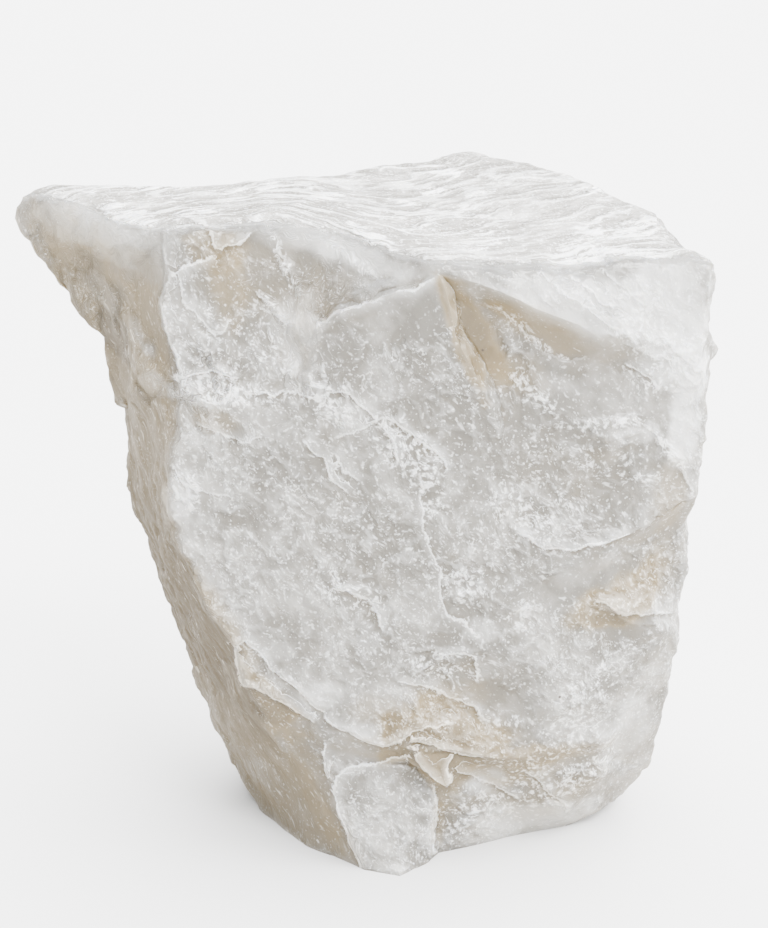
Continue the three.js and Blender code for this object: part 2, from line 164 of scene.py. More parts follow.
def rounded_copy(node, name):
    """A copy of a CAD node with its facets rounded and its broken ridges kept crisp."""
    mesh = node.data.copy()
    shape = bmesh.new()
    shape.from_mesh(mesh)
    bmesh.ops.remove_doubles(shape, verts=shape.verts, dist=SAME_PLACE)
    foot = [face for face in shape.faces if face.normal.z < FLAT_DOWN]
    bmesh.ops.join_triangles(shape, faces=foot, angle_face_threshold=0.1, angle_shape_threshold=math.pi)
    crease = shape.edges.layers.float.new("crease_edge")
    for edge in shape.edges:
        sharpness = (edge.calc_face_angle() / CRISP_ANGLE - 1) * CRISP_GAIN
        edge[crease] = min(1.0, max(0.0, sharpness))
    shape.to_mesh(mesh)
    shape.free()
    copy = bpy.data.objects.new(name, mesh)
    bpy.context.scene.collection.objects.link(copy)
    rounding = copy.modifiers.new("rounding", "SUBSURF")
    rounding.levels = SUBDIVISIONS
    rounding.render_levels = SUBDIVISIONS
    return copy


def apply_modifiers(piece):
    """Turns the evaluated object into a plain mesh and removes what made it."""
    evaluated = piece.evaluated_get(bpy.context.evaluated_depsgraph_get())
    finished = bpy.data.meshes.new_from_object(evaluated)
    piece.modifiers.clear()
    piece.data = finished


block = rounded_copy(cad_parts["quartz_block"], "milky_quartz_block")

# Edges of broken plates on the front: how strong each is, and its points (across, height) in mm. Seen from
# the front, the stone stands proud on the left of a line as it is drawn.
PLATE_EDGES = [
    # below the rim, from the horn to the wing
    (0.2, [(-29.5, 98.5), (-28, 92), (-29, 87.5)]),
    (0.7, [(-29, 87.5), (-28.5, 85), (-26.5, 78), (-26, 75.5)]),
    (0.7, [(-22, 94.5), (-23, 93.5), (-26, 92.5), (-28, 91)]),
    (0.8, [(-22, 98), (-21.5, 95.5), (-20, 95), (-18, 96), (-16.5, 97)]),
    (0.4, [(-26.5, 90.5), (-26, 87.5), (-24, 86), (-21, 83.5), (-20, 83), (-19, 84.5)]),
    (0.3, [(-14, 86.5), (-10.5, 85)]),
    (0.9, [(9.5, 94.2), (6.5, 93), (2.5, 91), (-2, 89), (-6, 86.5)]),
    # along the top of the big plate, and the cracks that run down from there
    (0.7, [(-26.5, 76), (-24, 77), (-21, 77.5), (-18, 77)]),
    (0.5, [(-19.5, 75), (-21, 74), (-23.5, 74)]),
    (0.4, [(-16, 75), (-11, 75.5), (-5.5, 75.5), (-2, 76.5)]),
    (0.4, [(-23.5, 70), (-20.5, 68.5), (-17, 68), (-14.5, 69)]),
    (0.4, [(-27.5, 63), (-25.5, 60.5), (-19.5, 59.5)]),
    (0.6, [(-2, 76.5), (0, 74.5), (2, 73)]),
    (0.8, [(5, 72.5), (8, 70.5), (11.5, 68), (12, 65.5)]),
    (0.6, [(3, 72), (4.5, 69), (5.5, 66.5)]),
    (0.4, [(-3, 69.5), (0.5, 71.5), (4, 73)]),
    (0.6, [(-7.5, 68.5), (-5.5, 66.5), (-4, 63.5), (-2, 61.5)]),
    (0.4, [(-3.5, 66.5), (-2, 64.5), (-0.5, 63.5)]),
    (0.4, [(17, 39.5), (13, 42.5), (11.5, 49.5), (9.5, 55.5), (9.5, 61)]),
    (0.8, [(-3.5, 46), (-1.5, 46), (1, 44.5), (2, 42.5), (2.5, 40.5)]),
    # from the hollow down the right-hand slope
    (0.12, [(32.5, 81), (30.5, 80.5), (27, 82), (25.5, 84), (21.5, 87), (19, 89.5)]),
    (0.3, [(41.5, 70.5), (45.5, 67), (47.5, 62.5), (49, 59.5)]),
    (0.5, [(39, 79.5), (42, 77.5), (43, 76.5)]),
    (0.6, [(46, 81.5), (48, 80), (49.5, 78), (50.5, 75.5)]),
    (0.4, [(29, 94), (32.5, 91.5), (36.5, 89.5)]),
    (0.4, [(26, 94), (30, 90.5), (35, 87.5), (39, 84)]),
    (0.3, [(33, 95), (37, 92.5), (41, 89.5)]),
    (0.7, [(24, 54.5), (27.5, 52.5), (31, 52), (35.5, 53), (39, 54)]),
    (0.8, [(35.5, 43.5), (39.5, 41), (43.5, 39.5), (47, 39)]),
    # the brow, the recess below it and the block at the foot
    (0.7, [(-18.5, 36), (-17, 37), (-15.5, 35), (-13.5, 33), (-11, 31), (-8, 29), (-5.5, 26.5)]),
    (1.0, [(-18.5, 35.5), (-18, 29.5), (-14.5, 29), (-11, 27), (-7.5, 25)]),
    (0.9, [(-4.5, 25), (-1, 23), (3.5, 21), (6.5, 22.5)]),
    (1.0, [(6, 22), (9, 22), (13.5, 20), (18, 18.5)]),
    (0.9, [(8, 20.5), (8.5, 18.5), (11.5, 15), (13.5, 12), (14, 15), (14, 19.5)]),
    (0.9, [(12, 1), (11.5, 4), (12, 8.5), (11.5, 12)]),
    (0.6, [(6.5, 31.5), (10, 30.5), (14, 28), (17, 26), (19, 24)]),
    (0.5, [(12, 35.5), (15, 36), (17.5, 35.5), (17.5, 31.5)]),
    (0.5, [(6.5, 22.5), (10, 24.5), (13.5, 24.5)]),
    (0.6, [(15, 15.5), (18.5, 12.5), (21, 11), (24, 8.5)]),
    (0.6, [(-5.5, 20.5), (-5, 15), (-4, 11), (-2, 4), (0, 0)]),
    (0.6, [(8.5, 20), (6.5, 19), (3, 17), (-2, 16.5), (-4.5, 13.5)]),
    (0.6, [(26, 13.5), (28.5, 10.5), (31, 8), (31.5, 5.5)]),
]
# Patches on the front (across, height) and on the top (across, depth): their middle, half length and half
# width in mm, the slope of their length in degrees and their strength.
FRONT_BRUISES = [                   # crushed white
    # below the rim, left of the hollow
    (-11.5, 95, 7, 0.9, -64, 1.3),
    (-2.5, 96.3, 8, 0.8, -30, 1.2),
    (-13.5, 88.3, 2, 0.5, -35, 1.4),
    (-17, 81.5, 11, 6, 10, 0.3),
    # the hollow, and the wing and shoulder right of it
    (41, 87.5, 6, 6, -50, 0.6),
    (23.5, 85.8, 6.5, 0.9, -42, 1.0),
    (25.5, 75.5, 5, 1.0, -40, 0.9),
    (27, 76.5, 7, 3.5, -38, 0.3),
    (45.5, 79, 4, 6, -60, 0.6),
    # across the middle
    (-20, 74.5, 9, 2.2, 0, 0.9),
    (-5, 75, 6, 3, -35, 0.9),
    (35, 71.5, 8, 1.0, 5, 1.0),
    (7, 68, 7, 4, -45, 0.8),
    (36, 66, 8, 3, 5, 0.4),
    (45.5, 66.5, 5, 1.0, -55, 1.0),
    (-26, 60, 3, 3, 0, 1.0),
    (10.5, 61, 5, 2, -70, 0.7),
    (24, 58, 8, 3, -40, 0.5),
    (41, 62.5, 5, 1.0, -5, 0.7),
    # from the left-hand edge to the ledge on the right
    (-3, 46, 6, 2.5, -20, 0.7),
    (15.5, 47, 4, 3, -30, 0.8),
    (24.5, 42, 3, 2.5, 0, 0.9),
    (12, 34, 6, 2.5, 0, 0.6),
    # the brow, the recess below it and the foot
    (21, 24, 4, 2, 0, 0.6),
    (33, 24, 12, 5, 62, 0.5),
    (24, 16, 6, 2.5, -30, 0.6),
    (28, 11, 8, 5, 30, 0.6),
    (36, 14, 8, 4, 60, 0.5),
    (18, 6, 7, 5, 0, 0.6),
]
# Crushed white on the top, partly painted sheen.
TOP_BRUISES_AND_SHEEN = [
    # the horn
    (-32, 0, 9, 2, 0, 0.9),
    (-34, -13, 7, 3, -60, 1.1),
    (-24, -14, 4, 2.5, -25, 1.0),
    # the middle
    (12.5, 10, 4, 2, 15, 0.8),
    (11, -1.5, 3, 2, 25, 0.9),
    (-6, -8.5, 6, 2, 50, 1.0),
    (7, -9.5, 3, 2, -50, 0.9),
    (9.5, -20, 3, 1.5, 45, 1.0),
    (1, -24, 4, 1.5, -50, 1.0),
    # the right-hand end
    (19, -1.5, 4, 1.5, 28, 0.8),
    (34.5, 0, 4, 2, 58, 0.9),
    (37, -19.5, 12, 3, 38, 1.2),
    (18, -23.5, 7, 3, 36, 1.0),
    (34, -27.5, 12, 2.4, 18, 1.3),
]
# Patches lighter or darker than the rest: partly the stone's own milkiness, partly painted light and shade.
FRONT_TONES_AND_PAINTED_LIGHT = [                     # whiter where above 0, clearer and darker where below
    # the horn and the neck below it
    (-40, 95, 10, 5, -10, 1.0),
    # below the rim, left of the hollow
    (-21, 95.5, 5, 3.5, 0, -0.8),
    (0, 96, 10, 2, -8, 0.9),
    (-17, 91, 8, 6, 0, -0.7),
    (-17, 89, 8, 3, 90, -0.6),
    (-10, 88, 6, 4, -40, 0.7),
    (-8, 82, 3, 6, 0, 1.0),
    (-1, 80, 4, 5, 0, -0.8),
    # the hollow, and the wing and shoulder right of it
    (20, 88, 5, 3.5, -50, -0.8),
    (34, 89, 16, 5, -12, 0.8),
    (12, 84, 9, 6, -60, -0.5),
    (16.5, 83, 10, 3, -72, -1.6),
    (28, 82, 6, 4, -30, -0.8),
    (45, 87, 12, 7, -80, 0.9),
    (18, 80, 16, 1.6, -70, -1.2),
    (24, 80.5, 4, 3, -30, -0.5),
    (48, 77, 8, 3, 85, 1.3),
    (22, 75, 17, 4, -62, -0.9),
    # across the middle
    (6, 72, 5, 4, 0, -0.6),
    (40, 69.5, 4, 2, 0, 0.8),
    (8.5, 65, 5, 4, -60, -0.9),
    (24, 66, 6, 5, -30, -1.0),
    (31, 63.5, 5, 4, 0, -0.6),
    (47.5, 67.5, 6, 3, 85, 1.2),
    (-27.5, 58, 6, 3, 85, 0.9),
    (-18, 59, 4, 3, 0, 0.5),
    (-3, 58, 12, 8, -30, -0.3),
    # from the left-hand edge to the ledge on the right
    (-22, 50, 12, 9, -60, 0.3),
    (1.5, 47.5, 5, 4, 0, -0.4),
    (18, 40, 4, 3, 0, 0.7),
    (36, 43, 8, 5, 20, -0.6),
    (37, 43, 6, 3, 20, -0.6),
    (38.5, 41.5, 4.5, 2.5, 0, -0.6),
    (-12, 35.5, 3, 3, 0, 0.7),
    (3.5, 35.5, 3, 3, 0, 0.5),
    (39, 37, 5, 4, 0, -0.6),
    # the brow, the recess below it and the foot
    (-14, 29, 5, 4, -50, -0.6),
    (-5.5, 29, 4, 3, 0, 0.7),
    (10.5, 29, 6, 1.6, 0, -0.7),
    (-14, 26, 7, 4, -50, -0.9),
    (1.5, 23.5, 4, 2, 0, 0.7),
    (9, 23, 8, 5, 0, -0.7),
    (10, 24, 7, 4, 10, -0.5),
    (11, 24, 7, 5, 0, -0.9),
    (17, 24.5, 4, 3.5, 0, -0.5),
    (36, 25, 12, 8, 40, 0.3),
    (11, 20.5, 5, 1.8, 0, -0.9),
    (14, 16, 3, 7, 0, -0.7),
    (41, 18, 9, 5, 70, 0.7),
    (19, 13, 4, 3, 0, 0.8),
    (27, 3.5, 12, 5, 0, 1.25),
]
FRONT_KNOBS = [                     # rounded chips that stand proud
    # the horn and the neck below it
    (-38.5, 85.5, 4.5, 2.6, -50, 1.0),
    (-33.5, 81.5, 2.6, 1.4, -60, 0.9),
    (-34.5, 77, 2.5, 1.5, -70, 0.7),
    (-31, 79, 1.5, 1.2, 0, 0.8),
    (-30.5, 74.5, 3.4, 2.2, -15, 1.1),
    # the hollow, and the wing and shoulder right of it
    (49, 78, 2.6, 1.5, 70, 0.8),
    # across the middle
    (-24, 76.2, 3.5, 1.3, 0, 0.8),
    # from the left-hand edge to the ledge on the right
    (43, 49, 2, 1.5, 40, 0.5),
    (39, 42.5, 3.8, 1.4, -8, 1.0),
    # the brow, the recess below it and the foot
    (1, 13, 2.2, 1.6, 40, 0.6),
    (8.5, 13, 1.8, 1.4, 20, 0.6),
    (17, 11.5, 2.5, 1.8, -40, 0.8),
    (21, 14, 2.4, 1.4, -30, 0.8),
    (0, 6, 2, 1.4, 60, 0.5),
    (5.5, 8, 2.4, 1.5, -30, 0.6),
    (16.5, 6, 2.5, 2, 60, 0.7),
]
FRONT_SMOOTHS = [                   # waxy, with few chips
    # the horn and the neck below it
    (-38, 94, 12, 7, -10, 1.0),
    # below the rim, left of the hollow
    (-5, 96.5, 17, 4, -3, 1.0),
    (-17, 92, 8, 5, 0, 0.4),
    (7, 89.5, 10, 5, 15, 0.7),
    # the hollow, and the wing and shoulder right of it
    (38, 91, 14, 7, -10, 0.5),
    (14.5, 86.5, 8, 1.5, -71, 0.5),
    (17.5, 84, 9, 3, -70, 0.9),
    (27, 87, 12, 4, -30, 0.8),
    (33, 78, 12, 7, -20, 0.35),
    # across the middle
    (44.5, 70.5, 8, 4.5, 80, 0.5),
    # from the left-hand edge to the ledge on the right
    (32.5, 46.5, 8, 3, 15, 0.8),
    (40, 38.5, 5, 3, 0, 0.8),
    # the brow, the recess below it and the foot
    (21, 27.5, 5, 3, -30, 0.8),
    (6, 18.5, 11, 1.8, 0, 1.0),
    (14, 17, 3, 4, 0, 0.5),
]
# Painted warm beige glow and shade, where light comes through the stone into hollows, overhangs and the neck.
FRONT_WARM_GLOWS_AND_SHADE = [                   # beige, from light that comes through the stone
    # the horn and the neck below it
    (-37, 93.5, 7, 3, -15, 0.3),
    (-42, 88, 13, 7, -60, 1.0),
    (-42, 90, 3, 3, 0, 0.5),
    (-40.5, 90, 3, 4, 0, 0.7),
    (-39, 84, 6, 5, 0, 0.4),
    (-33, 86, 5, 4, 0, 0.5),
    (-37, 78.5, 4.5, 3, -75, 1.2),
    (-36.5, 80, 3, 5, 0, 0.8),
    (-36, 77, 7, 4, -70, 0.5),
    (-31, 76, 4, 4, 0, 0.8),
    # below the rim, left of the hollow
    (-21, 95.5, 5, 3.5, 0, 0.9),
    (-19, 90, 7, 3, 90, 0.7),
    (-12, 91, 15, 6, -12, 0.3),
    # the hollow, and the wing and shoulder right of it
    (20, 87.5, 4, 3, -50, 0.35),
    (15.1, 84.5, 10.5, 1.4, -71, 1.6),
    (15.5, 87, 8, 2.8, -66, 1.15),
    (18, 83.5, 7, 2.5, -66, 0.8),
    (26, 86, 9, 3.2, -28, 0.65),
    (19, 80, 5, 3, -60, 0.4),
    (24, 79, 5, 3, -40, 0.4),
    # across the middle
    (-21, 71, 4, 2.5, 0, 0.6),
    (46, 59, 7, 3, 80, 0.7),
    # from the left-hand edge to the ledge on the right
    (-32, 45, 14, 3, -70, 0.8),
    (44, 47, 6, 3, 80, 0.5),
    (44, 45, 8, 4, 60, 0.5),
    (-24, 41, 8, 2.2, -60, 0.7),
    (37, 42, 6, 3.5, 0, 0.9),
    (38, 41, 6, 2.5, 10, 0.6),
    (38, 42.5, 8, 4, 25, 1.4),
    (38, 41.5, 5, 2, 5, 0.5),
    (-26, 34, 12, 3, -62, 1.0),
    (-20, 38, 12, 2.5, -62, 0.8),
    # the brow, the recess below it and the foot
    (-14, 27, 6, 3, -50, 0.8),
    (-14, 26, 8, 4, -50, 1.6),
    (3, 27, 6, 3, 0, 0.5),
    (9, 24.5, 8, 4.5, 15, 1.0),
    (10, 22, 7, 4, 0, 0.5),
    (12, 21, 12, 5, 0, 1.5),
    (12, 27, 8, 4, 20, 0.6),
    (13.5, 17, 4, 9, 0, 0.9),
    (14, 18.5, 4, 3, 0, 0.9),
    (14.5, 17, 3, 4, 0, 0.5),
    (24, 15.5, 9, 4.5, 0, 0.7),
    (27, 17.5, 12, 2.5, 0, 0.8),
    (-6.5, 9, 11, 2.2, -65, 0.6),
    (31, 9, 9, 4, 25, 0.5),
    (12, 6, 5, 1.2, 90, 0.5),
    (18, 8, 7, 5, 0, 0.3),
]

RELIEF_INPUTS = {                   # how high each pattern stands, in mm
    "Swell height": 0.4,
    "Crag height": 0.55,
    "Grain height": 0.2,
    "Lobe height": 0.9,
    "Plate height": 0.5,
    "Nibble depth": 0.4,
    "Knob height": 0.15,
    "Chip height": 1.8,
}
# How wide each pattern's lumps are, in mm.
SWELL_SIZE = 7
CRAG_SIZE = 6
GRAIN_SIZE = 1.6
LOBE_SIZE = 4.5
NIBBLE_SIZE = 3.2
CHIP_SIZE = 3
CLOUD_SIZE = 9                      # milky clouds inside the stone
ROUGH_ZONE_SIZE = 13                # stretches that broke rougher than others
RAGGED_SIZE = 4                     # bays in the rims of the patches
WAVE_SIZE = 5                       # bends in everything that would be straight
WAVE_REACH = 3
TOP_FROM = 84                       # mm, the lowest that the flat top comes
FLAT_FOOT = 3.5                     # mm above the resting face over which the relief dies out
CHIP_LINE = (0.62, 0.0, -0.78)      # the front's chips run down to the right
CHIP_STRETCH = 1.4                  # times as long as wide
SCORE_LINE = (0.45, -0.25, -0.86)   # the left-hand face's scores run down and forward
SCORE_STRETCH = 4
LOBE_STRETCH = 2
# The top's streaks fan out. They lie along the front rim and swing round further back.
RIM_DEPTH = -34
SIDE_RIM_DEPTH = -17
RIM_SLOPE = 0.18
SLOPE_GAIN = 0.022                  # for each mm back from the rim
FAN_SPREAD = 0.45
STREAK_LENGTH = 4.5                 # how far the pattern is drawn out along them
STREAK_FINENESS = 1.25
STREAK_SWAY = 5                     # mm
STREAK_SWAY_SIZE = 12
OFF_THE_FRONT = 9                   # mm past its end, so a plate edge never shows on other sides
# Rounds of smoothing. The shape's own levels are taken off to find what stands proud or lies deep.
RIM_REACH = 25                      # how far the rim's rounding reaches from the top
RIM_ROUNDING = 40
NARROW_RIDGE = 5
FINE_HOLLOW = 6
WIDE_HOLLOW = 70
SOFT_SHADE = 4

relief = bpy.data.node_groups.new("quartz_relief", "GeometryNodeTree")
relief.interface.new_socket("Geometry", in_out="INPUT", socket_type="NodeSocketGeometry")
relief.interface.new_socket("Geometry", in_out="OUTPUT", socket_type="NodeSocketGeometry")
for label in RELIEF_INPUTS:
    relief.interface.new_socket(label, in_out="INPUT", socket_type="NodeSocketFloat")
relief.interface.new_socket("Plate edges", in_out="INPUT", socket_type="NodeSocketObject")
relief.interface.new_socket("Material", in_out="INPUT", socket_type="NodeSocketMaterial")

# From here t is the tree that is being written, and the helpers below add their nodes to it.
t = Tree(relief)
given = t.node("NodeGroupInput")
position = t.node("GeometryNodeInputPosition")[0]
normal = t.node("GeometryNodeInputNormal")[0]
place = t.vector("SCALE", position, Scale=1 / MM)
across, depth, height = t.parts(place)

# Which way the surface faces, from 0 to 1. The flat top counts as facing nowhere but up.
facing_x, facing_y, facing_z = t.parts(normal)
up = facing_z.rise(0.45, 0.85) * height.rise(TOP_FROM, TOP_FROM + 5)
under = (-facing_z).rise(0.1, 0.5)
left = (-facing_x).rise(0.35, 0.75) * (1 - up)
front = (-facing_y).rise(0.2, 0.5) * (1 - up)
hardly_front = (-facing_y).rise(-0.05, 0.3) * (1 - up)
side = (1 - (-facing_y).rise(0.3, 0.6)) * (1 - up)

# The top's rim is worn round, most of all at the horn.
near_top = t.node("GeometryNodeBlurAttribute", {"Value": up, "Iterations": RIM_REACH})["Value"]
rounding = near_top.rise(0.02, 0.3) * height.rise(TOP_FROM, TOP_FROM + 6) * (1 - across.rise(-30, -8) * 0.6)
softened = t.node("GeometryNodeBlurAttribute", {
    "Value": position, "Iterations": RIM_ROUNDING, "Weight": rounding},
    data_type="FLOAT_VECTOR")["Value"]
rounded = t.node("GeometryNodeSetPosition", {"Geometry": given["Geometry"], "Position": softened})["Geometry"]

wave = t.vector("SUBTRACT", t.noise(place, WAVE_SIZE, output="Color"), (0.5, 0.5, 0.5))
wavy = t.vector("ADD", place, t.vector("SCALE", wave, Scale=WAVE_REACH))
wavy_across, wavy_depth, wavy_height = t.parts(wavy)


def mix_vector(factor, first, second):
    """first where factor is 0, second where it is 1."""
    return t.node("ShaderNodeMix", {"Factor": factor, 4: first, 5: second}, data_type="VECTOR")[1]


# The grain is a place in mm, squeezed so that what is patterned on it runs as the stone broke.
rim = RIM_DEPTH + (SIDE_RIM_DEPTH - RIM_DEPTH) * (1 - across.rise(-15, 8))
slope = (wavy_depth - rim).larger(0) * SLOPE_GAIN + RIM_SLOPE
fan = (slope.math("LOGARITHM", slope, math.e) / SLOPE_GAIN - wavy_across) * FAN_SPREAD
fan = (fan + (t.noise(place, STREAK_SWAY_SIZE, detail=1) - 0.5) * STREAK_SWAY) * STREAK_FINENESS
along_fan = (wavy_across * 0.9 + wavy_depth * 0.42) / STREAK_LENGTH
grain = t.stretched(wavy, CHIP_LINE, CHIP_STRETCH)
grain = mix_vector(left, grain, t.stretched(wavy, SCORE_LINE, SCORE_STRETCH))
grain = mix_vector(up, grain, t.xyz(fan, along_fan, wavy_height))

# The nearest plate edge, seen from the front: mm towards its proud side, mm past its end and its strength.
lines = t.node("GeometryNodeObjectInfo", {"Object": given["Plate edges"]})["Geometry"]
flat = t.vector("MULTIPLY", wavy, (1, 0, 1))
nearest = t.node("GeometryNodeProximity", {"Geometry": lines, "Sample Position": flat},
                 target_element="EDGES")["Position"]
nearest_line = t.node("GeometryNodeSampleNearest", {"Geometry": lines, "Sample Position": flat},
                      domain="EDGE")["Index"]
proud_way = t.node("GeometryNodeInputNamedAttribute", {"Name": "proud_way"},
                   data_type="FLOAT_VECTOR")["Attribute"]
proud_way = t.node("GeometryNodeSampleIndex", {"Geometry": lines, "Value": proud_way, "Index": nearest_line},
                   data_type="FLOAT_VECTOR", domain="EDGE")["Value"]
from_edge = t.vector("SUBTRACT", flat, nearest)
proud = t.vector("DOT_PRODUCT", from_edge, proud_way)
reach = t.vector("LENGTH", from_edge)
past_end = (reach * reach - proud * proud).larger(0)
past_end = past_end.math("SQRT", past_end) + (1 - (-facing_y).rise(0.05, 0.3) * (1 - up)) * OFF_THE_FRONT
edge_strength = t.parts(proud_way)[1]
plate = (proud.rise(-0.5, 0.4) - 0.5) * (1 - reach.rise(0, 3.5)) * (1 - past_end.rise(0, 2)) * edge_strength


OVAL_INPUTS = {"Total": "Float", "Place": "Vector", "Ragged": "Float", "Along": "Vector", "Beside": "Vector",
               "Strength": "Float"}


def oval_group():
    """A node group that adds one soft oval to a running total. Along and Beside turn a place into the
    oval's own units: 0 in its middle and 1 on its rim."""
    group = bpy.data.node_groups.new("add_oval", "GeometryNodeTree")
    for label, kind in OVAL_INPUTS.items():
        group.interface.new_socket(label, in_out="INPUT", socket_type="NodeSocket" + kind)
    group.interface.new_socket("Total", in_out="OUTPUT", socket_type="NodeSocketFloat")
    inner = Tree(group)
    given = inner.node("NodeGroupInput")
    u = inner.vector("DOT_PRODUCT", given["Place"], given["Along"])
    v = inner.vector("DOT_PRODUCT", given["Place"], given["Beside"])
    inside = (1 - u * u - v * v + given["Ragged"]).rise(-0.3, 0.9)
    inner.node("NodeGroupOutput", {"Total": given["Total"] + inside * given["Strength"]})
    return group


add_oval = oval_group()
ragged = (t.noise(place, RAGGED_SIZE, detail=3) - 0.5) * 2


def patches(table, a, b):
    """The sum of soft ragged ovals on the plane of two coordinates."""
    spot = t.xyz(a, 1, b)
    total = 0.0
    for middle_a, middle_b, half_length, half_width, slant, strength in table:
        turn = math.radians(slant)
        along = Vector((math.cos(turn), 0, math.sin(turn))) / half_length
        beside = Vector((-math.sin(turn), 0, math.cos(turn))) / half_width
        along.y = -middle_a * along.x - middle_b * along.z
        beside.y = -middle_a * beside.x - middle_b * beside.z
        total = t.node("GeometryNodeGroup", {
            "Total": total, "Place": spot, "Ragged": ragged, "Along": along, "Beside": beside,
            "Strength": strength}, node_tree=add_oval)["Total"]
    return total


bruise = patches(FRONT_BRUISES, across, height) * front + patches(TOP_BRUISES_AND_SHEEN, across, depth) * up
# Painted glow near the top of the right-hand part of the front, where light comes through the thin rim.
shoulder_glow = height.rise(TOP_FROM, 99) * across.rise(5, 20) * 0.5
tone = (patches(FRONT_TONES_AND_PAINTED_LIGHT, across, height) + shoulder_glow) * front
smooth = patches(FRONT_SMOOTHS, across, height) * front
warmth = patches(FRONT_WARM_GLOWS_AND_SHADE, across, height) * hardly_front
knob = patches(FRONT_KNOBS, wavy_across, wavy_height).rise(0.2, 1.0) * hardly_front

# Painted shade on the left-hand face, which leans over: less of it on the horn, at the very foot and towards
# the back.
shade = left * (1 - height.rise(80, 97) * 0.8) + left * under * 0.35
shade = shade * (0.65 + height.rise(8, 25) * 0.35)
shade = shade + left * (1 - height.rise(50, 65)) * height.rise(10, 28) * 0.35
shade = shade * (1 - depth.rise(5, 25) * 0.4)


def hollowness(rounds):
    """How deep a place lies under the smoothed surface round it, in mm."""
    around = t.node("GeometryNodeBlurAttribute", {"Value": position, "Iterations": rounds},
                    data_type="FLOAT_VECTOR")["Value"]
    out = t.vector("SUBTRACT", around, position)
    return t.vector("DOT_PRODUCT", out, normal) / MM


# Each pattern is from about -0.5 to 0.5 or from 0 to 1, and stands where its mask lets it.
rough_zone = t.noise(place, ROUGH_ZONE_SIZE, detail=3).rise(0.38, 0.62) * (1 - under * 0.8)
rough = (rough_zone * 0.4 + bruise * 0.5 + 0.3 - smooth - under * 0.5 - left * 0.3).clamped()
swell = t.noise(wavy, SWELL_SIZE, detail=1) - 0.5
crag = t.crags(t.stretched(wavy, CHIP_LINE, CHIP_STRETCH), CRAG_SIZE, 2, 0.5) - 0.8
fine_grain = t.noise(grain, GRAIN_SIZE, detail=2) - 0.5
lobe = t.node("ShaderNodeTexVoronoi", {
    "Vector": t.stretched(wavy, SCORE_LINE, LOBE_STRETCH), "Scale": 1 / LOBE_SIZE})["Distance"]
nibble = t.noise(place, NIBBLE_SIZE, detail=2).rise(0.5, 0.68) * (-hollowness(NARROW_RIDGE)).rise(0.03, 0.14)
chip = t.noise(place, CHIP_SIZE, detail=3) - 0.45
chipped = side + near_top * (1 - near_top) * (1 - front) * 2
relief_height = (
    swell * given["Swell height"]
    + crag * (rough + 0.15) * (1 - up * 0.6) * given["Crag height"]
    + fine_grain * given["Grain height"]
    + (0.4 - lobe) * left * (1 - smooth).clamped() * given["Lobe height"]
    + plate * given["Plate height"]
    + knob * given["Knob height"]
    - nibble * given["Nibble depth"]
    + chip * chipped * given["Chip height"]
)
lift = height.rise(0, FLAT_FOOT)
outwards = t.vector("MULTIPLY", normal, t.xyz(lift * 0.5 + 0.5, lift * 0.5 + 0.5, lift))
broken = t.node("GeometryNodeSetPosition", {
    "Geometry": rounded, "Offset": t.vector("SCALE", outwards, Scale=relief_height * MM)})["Geometry"]


def marked_with(geometry, name, value, kind="FLOAT"):
    """Keeps a value on the corners of the stone for its material to read."""
    return t.node("GeometryNodeStoreNamedAttribute", {"Geometry": geometry, "Name": name, "Value": value},
                  data_type=kind, domain="POINT")["Geometry"]


marks = {
    "rough": rough,
    "smooth": smooth.clamped(),
    "hollow_wide": hollowness(WIDE_HOLLOW),
    "hollow_fine": hollowness(FINE_HOLLOW),
    "cloud": t.noise(wavy, CLOUD_SIZE, detail=3, Roughness=0.6),
    "bruise": bruise,
    "tone": tone,
    "warmth": warmth,
    "up": up,
    "knob": knob,
    "shade": t.node("GeometryNodeBlurAttribute", {"Value": shade, "Iterations": SOFT_SHADE})["Value"],
    "under": under,
}
marked = marked_with(broken, "grain", grain, kind="FLOAT_VECTOR")
plate_edge = t.xyz(proud, past_end, edge_strength * (1 - reach.rise(1.4, 2.4)))
marked = marked_with(marked, "plate_edge", plate_edge, kind="FLOAT_VECTOR")
for label, value in marks.items():
    marked = marked_with(marked, label, value)
whole = t.node("GeometryNodeRealizeInstances", {"Geometry": marked})["Geometry"]
painted = t.node("GeometryNodeSetMaterial", {"Geometry": whole, "Material": given["Material"]})["Geometry"]
t.node("NodeGroupOutput", {"Geometry": painted})

# ---- Quartz block: its stuff ----------------------------------------------------------------------
# White to pale grey quartz, clouded all through by tiny bubbles. Light goes a few millimetres in, so hollows
# and overhangs glow a warm beige, and that glow and shade is also painted into the colour. Chip edges show as
# bright white flecks on greyer glass, partly painted glints.
CLEAR_GREY = (0.18, 0.168, 0.145)
MILK_WHITE = (0.47, 0.46, 0.437)
GLOW_AND_SHADE_BEIGE = (0.26, 0.2, 0.112)
DEEP_SHADE_BROWN = (0.1, 0.074, 0.038)
FLECK_WHITE = (0.96, 0.97, 0.97)
FLECK_CREAM = (0.8, 0.71, 0.56)
SPECK_BROWN = (0.08, 0.06, 0.045)
QUARTZ_IOR = 1.54
GLOW_RADIUS = (1.0, 0.85, 0.65)     # red light goes furthest into the stone
GLOW_DEPTH = 2.0 * MM
GLOW_SHARE = 0.35
# How wide each pattern's lumps are, in mm.
FINE_SIZE = 1.3
CREST_SIZE = 3.2
CURL_SIZE = 0.65
FLECK_SIZE = 0.65
BREAK_SIZE = 0.9
DUST_SIZE = 0.42
SPECK_SPACING = 6.0                 # mm from one cell of specks to the next
SPECK_CHANCE = 0.1                  # of a cell holding one

quartz = bpy.data.materials.new("milky_quartz")
quartz.use_nodes = True
quartz.node_tree.nodes.clear()
t = Tree(quartz.node_tree)


